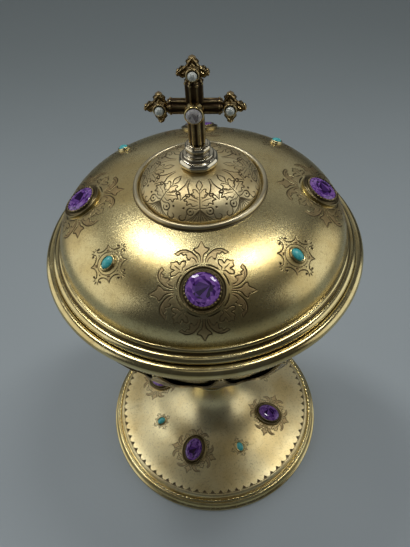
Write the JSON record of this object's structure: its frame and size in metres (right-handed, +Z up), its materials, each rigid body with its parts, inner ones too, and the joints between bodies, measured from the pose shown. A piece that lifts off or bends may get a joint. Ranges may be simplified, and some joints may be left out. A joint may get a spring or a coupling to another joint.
{
  "type": "ciborium",
  "caption": "Covered cup on a tall foot, for altar breads: lift-off domed lid with a jewelled cross finial, leafy bowl, round knop and trumpet foot.",
  "frame": {"origin": "centre of the foot's underside, on the surface it stands on", "axes": "+Z up along the axis of the stem; -Y is the side that the cross faces, to within 5 degrees"},
  "size_m": [0.13, 0.13, 0.2388],
  "materials": {
    "satin_gilt": "satin",
    "polished_gilt": "polished",
    "aged_gilt": "satin",
    "fittings": "satin",
    "amethyst": "polished",
    "turquoise": "polished",
    "pearl": "polished",
    "crystal": "polished"
  },
  "bodies": {
    "cup": {"bowl": "satin_gilt", "bowl_socket": "polished_gilt", "bowl_wall": "satin_gilt", "calyx": "aged_gilt", "cup_lip": "polished_gilt", "foot_amethyst_1": "amethyst", "foot_amethyst_2": "amethyst", "foot_amethyst_3": "amethyst", "foot_amethyst_4": "amethyst", "foot_amethyst_collet_1": "polished_gilt", "foot_amethyst_collet_2": "polished_gilt", "foot_amethyst_collet_3": "polished_gilt", "foot_amethyst_collet_4": "polished_gilt", "foot_base_ring": "polished_gilt", "foot_border": "polished_gilt", "foot_collar": "polished_gilt", "foot_dome": "satin_gilt", "foot_nut": "fittings", "foot_turquoise_1": "turquoise", "foot_turquoise_2": "turquoise", "foot_turquoise_3": "turquoise", "foot_turquoise_4": "turquoise", "foot_washer": "fittings", "knop": "satin_gilt", "lower_knop_ring": "polished_gilt", "lower_stem": "satin_gilt", "tie_rod": "fittings", "upper_knop_ring": "polished_gilt", "upper_stem": "satin_gilt"},
    "lid": {"boss": "satin_gilt", "boss_ring": "polished_gilt", "cross": "aged_gilt", "cross_collet": "polished_gilt", "cross_crystal": "crystal", "finial_base": "polished_gilt", "finial_nut": "fittings", "finial_stud": "fittings", "left_fleuron": "aged_gilt", "left_pearl": "pearl", "lid_amethyst_1": "amethyst", "lid_amethyst_2": "amethyst", "lid_amethyst_3": "amethyst", "lid_amethyst_4": "amethyst", "lid_amethyst_collet_1": "polished_gilt", "lid_amethyst_collet_2": "polished_gilt", "lid_amethyst_collet_3": "polished_gilt", "lid_amethyst_collet_4": "polished_gilt", "lid_bezel": "polished_gilt", "lid_dome": "satin_gilt", "lid_rim": "polished_gilt", "lid_turquoise_1": "turquoise", "lid_turquoise_2": "turquoise", "lid_turquoise_3": "turquoise", "lid_turquoise_4": "turquoise", "right_fleuron": "aged_gilt", "right_pearl": "pearl", "top_fleuron": "aged_gilt", "top_pearl": "pearl"}
  },
  "joints": [
    {"name": "lid_lift", "type": "slide", "parent": "cup", "child": "lid", "axis": [0, 0, 1], "range_m": [0, 0.15]}
  ]
}
